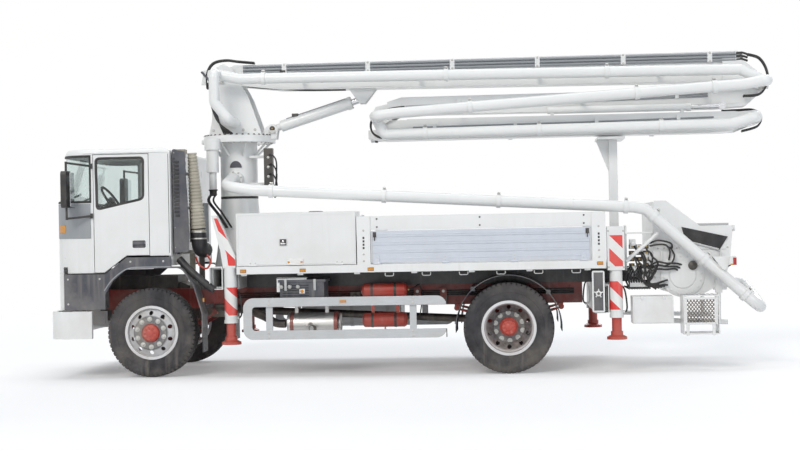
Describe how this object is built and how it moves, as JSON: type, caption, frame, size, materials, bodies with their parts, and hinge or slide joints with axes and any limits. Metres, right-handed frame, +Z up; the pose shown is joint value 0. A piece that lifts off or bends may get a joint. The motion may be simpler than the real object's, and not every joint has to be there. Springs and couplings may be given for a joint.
{
  "type": "concrete pump truck",
  "caption": "Two-axle truck with a tilting cab, slide-out support legs and a slewing turret carrying a folding concrete placing boom, pump and hopper.",
  "frame": {"origin": "on the ground, below the middle of the outer box in plan", "axes": "+Z up, -X to the front of the truck, -Y to its left-hand (driver's) side"},
  "size_m": [8.796, 2.89, 3.862],
  "materials": {
    "body_white": "gloss",
    "chassis_red": "satin",
    "frame_dark": "satin",
    "plastic_dark": "moulded",
    "aluminium": "rolled",
    "guard_aluminium": "mill",
    "steel_dark": "cast",
    "chrome_rod": "hard chrome",
    "silver_rim": "satin",
    "tyre": "matte",
    "glass": "clear",
    "interior": "moulded",
    "galvanised": "galvanised"
  },
  "bodies": {
    "chassis": {"chassis_frame": "frame_dark", "front_axle": "steel_dark", "rear_axle": "chassis_red", "drivetrain": "steel_dark", "front_bumper": "body_white", "mudguards": "plastic_dark", "pump_frame": "body_white", "intake_stack": "plastic_dark", "deck": "body_white", "tool_cabinet": "body_white", "side_guards": "guard_aluminium", "battery_box": "plastic_dark", "muffler": "silver_rim", "air_tanks": "chassis_red", "side_tanks": "aluminium", "pump_unit": "frame_dark", "hopper": "body_white", "delivery_line": "body_white", "rear_step": "body_white"},
    "cab": {"cab_shell": "body_white", "cab_glass": "glass", "cab_interior": "interior", "mirrors": "plastic_dark"},
    "cab_door_left": {"cab_door_left": "body_white", "door_glass_left": "glass"},
    "steering_knuckle_left": {"steering_knuckle_left": "steel_dark"},
    "front_wheel_left": {"front_rim_left": "silver_rim", "front_tyre_left": "tyre"},
    "rear_wheel_left": {"rear_rim_left": "silver_rim", "rear_tyre_left": "tyre"},
    "dropside_left": {"dropside_left": "aluminium"},
    "cab_door_right": {"cab_door_right": "body_white", "door_glass_right": "glass"},
    "steering_knuckle_right": {"steering_knuckle_right": "steel_dark"},
    "front_wheel_right": {"front_rim_right": "silver_rim", "front_tyre_right": "tyre"},
    "rear_wheel_right": {"rear_rim_right": "silver_rim", "rear_tyre_right": "tyre"},
    "dropside_right": {"dropside_right": "aluminium"},
    "turret": {"turret": "body_white"},
    "boom_section_1": {"boom_section_1": "body_white"},
    "boom_section_2": {"boom_section_2": "body_white"},
    "boom_section_3": {"boom_section_3": "body_white"},
    "boom_section_4": {"boom_section_4": "body_white"},
    "lift_cylinder_barrel": {"lift_cylinder_barrel": "body_white"},
    "lift_cylinder_rod": {"lift_cylinder_rod": "chrome_rod"},
    "boom_cylinder_rod_2": {"boom_cylinder_rod_2": "chrome_rod"},
    "boom_cylinder_rod_3": {"boom_cylinder_rod_3": "chrome_rod"},
    "boom_cylinder_rod_4": {"boom_cylinder_rod_4": "chrome_rod"},
    "support_beam_front_left": {"support_beam_front_left": "body_white"},
    "support_jack_front_left": {"support_jack_front_left": "chrome_rod"},
    "support_beam_front_right": {"support_beam_front_right": "body_white"},
    "support_jack_front_right": {"support_jack_front_right": "chrome_rod"},
    "support_beam_rear_left": {"support_beam_rear_left": "body_white"},
    "support_jack_rear_left": {"support_jack_rear_left": "chrome_rod"},
    "support_beam_rear_right": {"support_beam_rear_right": "body_white"},
    "support_jack_rear_right": {"support_jack_rear_right": "chrome_rod"},
    "tool_cabinet_door": {"tool_cabinet_door": "body_white"},
    "hopper_grate": {"hopper_grate": "galvanised"},
    "agitator": {"agitator": "steel_dark"}
  },
  "joints": [
    {"name": "cab_tilt", "type": "hinge", "parent": "chassis", "child": "cab", "pos_m": [-4.3, 0, 0.88], "axis": [0, -1, 0], "range_deg": [0, 50]},
    {"name": "cab_door_left_hinge", "type": "hinge", "parent": "cab", "child": "cab_door_left", "pos_m": [-3.85, -1.185, 1.9], "axis": [0, 0, -1], "range_deg": [0, 70]},
    {"name": "steer_left", "type": "hinge", "parent": "chassis", "child": "steering_knuckle_left", "pos_m": [-3.2, -0.82, 0.538], "axis": [0, 0, 1], "range_deg": [-35, 35]},
    {"name": "front_wheel_spin_left", "type": "hinge", "parent": "steering_knuckle_left", "child": "front_wheel_left", "pos_m": [-3.2, -1, 0.538], "axis": [0, 1, 0], "continuous": true},
    {"name": "rear_wheel_spin_left", "type": "hinge", "parent": "chassis", "child": "rear_wheel_left", "pos_m": [1.1, -0.9, 0.538], "axis": [0, 1, 0], "continuous": true},
    {"name": "dropside_left_hinge", "type": "hinge", "parent": "chassis", "child": "dropside_left", "pos_m": [0.785, -1.238, 1.33], "axis": [1, 0, 0], "range_deg": [0, 175]},
    {"name": "cab_door_right_hinge", "type": "hinge", "parent": "cab", "child": "cab_door_right", "pos_m": [-3.85, 1.185, 1.9], "axis": [0, 0, 1], "range_deg": [0, 70]},
    {"name": "steer_right", "type": "hinge", "parent": "chassis", "child": "steering_knuckle_right", "pos_m": [-3.2, 0.82, 0.538], "axis": [0, 0, 1], "range_deg": [-35, 35]},
    {"name": "front_wheel_spin_right", "type": "hinge", "parent": "steering_knuckle_right", "child": "front_wheel_right", "pos_m": [-3.2, 1, 0.538], "axis": [0, 1, 0], "continuous": true},
    {"name": "rear_wheel_spin_right", "type": "hinge", "parent": "chassis", "child": "rear_wheel_right", "pos_m": [1.1, 0.9, 0.538], "axis": [0, 1, 0], "continuous": true},
    {"name": "dropside_right_hinge", "type": "hinge", "parent": "chassis", "child": "dropside_right", "pos_m": [0.785, 1.238, 1.33], "axis": [-1, 0, 0], "range_deg": [0, 175]},
    {"name": "turret_slew", "type": "hinge", "parent": "chassis", "child": "turret", "pos_m": [-2.3, 0, 2.905], "axis": [0, 0, 1], "range_deg": [-180, 180]},
    {"name": "boom_1_lift", "type": "hinge", "parent": "turret", "child": "boom_section_1", "pos_m": [-2.48, 0, 3.7], "axis": [0, -1, 0], "range_deg": [0, 80]},
    {"name": "boom_2_fold", "type": "hinge", "parent": "boom_section_1", "child": "boom_section_2", "pos_m": [4.26, 0, 3.44], "axis": [0, -1, 0], "range_deg": [0, 180]},
    {"name": "boom_3_fold", "type": "hinge", "parent": "boom_section_2", "child": "boom_section_3", "pos_m": [-0.5, 0, 3.12], "axis": [0, 1, 0], "range_deg": [0, 180]},
    {"name": "boom_4_fold", "type": "hinge", "parent": "boom_section_3", "child": "boom_section_4", "pos_m": [4.15, 0, 3.02], "axis": [0, -1, 0], "range_deg": [0, 180]},
    {"name": "lift_barrel_pivot", "type": "hinge", "parent": "turret", "child": "lift_cylinder_barrel", "pos_m": [-1.85, 0, 3.035], "axis": [0, -1, 0], "range_deg": [0, 75]},
    {"name": "lift_rod_slide", "type": "slide", "parent": "lift_cylinder_barrel", "child": "lift_cylinder_rod", "axis": [0.9555, 0, 0.295], "range_m": [0, 0.75]},
    {"name": "boom_2_rod_slide", "type": "slide", "parent": "boom_section_1", "child": "boom_cylinder_rod_2", "axis": [1, 0, 0], "range_m": [0, 0.32]},
    {"name": "boom_3_rod_slide", "type": "slide", "parent": "boom_section_2", "child": "boom_cylinder_rod_3", "axis": [-1, 0, 0], "range_m": [0, 0.32]},
    {"name": "boom_4_rod_slide", "type": "slide", "parent": "boom_section_3", "child": "boom_cylinder_rod_4", "axis": [1, 0, 0], "range_m": [0, 0.3]},
    {"name": "support_beam_front_left_slide", "type": "slide", "parent": "chassis", "child": "support_beam_front_left", "axis": [0, -1, 0], "range_m": [0, 1.3]},
    {"name": "support_jack_front_left_slide", "type": "slide", "parent": "support_beam_front_left", "child": "support_jack_front_left", "axis": [0, 0, -1], "range_m": [0, 0.375]},
    {"name": "support_beam_front_right_slide", "type": "slide", "parent": "chassis", "child": "support_beam_front_right", "axis": [0, 1, 0], "range_m": [0, 1.3]},
    {"name": "support_jack_front_right_slide", "type": "slide", "parent": "support_beam_front_right", "child": "support_jack_front_right", "axis": [0, 0, -1], "range_m": [0, 0.375]},
    {"name": "support_beam_rear_left_slide", "type": "slide", "parent": "chassis", "child": "support_beam_rear_left", "axis": [0, -1, 0], "range_m": [0, 1.15]},
    {"name": "support_jack_rear_left_slide", "type": "slide", "parent": "support_beam_rear_left", "child": "support_jack_rear_left", "axis": [0, 0, -1], "range_m": [0, 0.375]},
    {"name": "support_beam_rear_right_slide", "type": "slide", "parent": "chassis", "child": "support_beam_rear_right", "axis": [0, 1, 0], "range_m": [0, 1.15]},
    {"name": "support_jack_rear_right_slide", "type": "slide", "parent": "support_beam_rear_right", "child": "support_jack_rear_right", "axis": [0, 0, -1], "range_m": [0, 0.375]},
    {"name": "tool_cabinet_door_hinge", "type": "hinge", "parent": "chassis", "child": "tool_cabinet_door", "pos_m": [-1.41, -1.238, 1.33], "axis": [1, 0, 0], "range_deg": [0, 95]},
    {"name": "hopper_grate_hinge", "type": "hinge", "parent": "chassis", "child": "hopper_grate", "pos_m": [2.873, 0, 1.718], "axis": [0, -1, 0], "range_deg": [0, 80]},
    {"name": "agitator_spin", "type": "hinge", "parent": "chassis", "child": "agitator", "pos_m": [3.3, 0, 1.23], "axis": [0, 1, 0], "continuous": true}
  ],
  "couplings": [
    {"joint": "steer_right", "follows": "steer_left", "ratio": 1},
    {"joint": "boom_2_fold", "follows": "boom_1_lift", "ratio": 0.4},
    {"joint": "boom_3_fold", "follows": "boom_1_lift", "ratio": 1.1},
    {"joint": "boom_4_fold", "follows": "boom_1_lift", "ratio": 0.3},
    {"joint": "lift_barrel_pivot", "follows": "boom_1_lift", "ratio": 0.915},
    {"joint": "lift_rod_slide", "follows": "boom_1_lift", "m_per_rad": 0.53357},
    {"joint": "boom_2_rod_slide", "follows": "boom_1_lift", "m_per_rad": 0.0573},
    {"joint": "boom_3_rod_slide", "follows": "boom_1_lift", "m_per_rad": 0.12892},
    {"joint": "boom_4_rod_slide", "follows": "boom_1_lift", "m_per_rad": 0.04297}
  ]
}
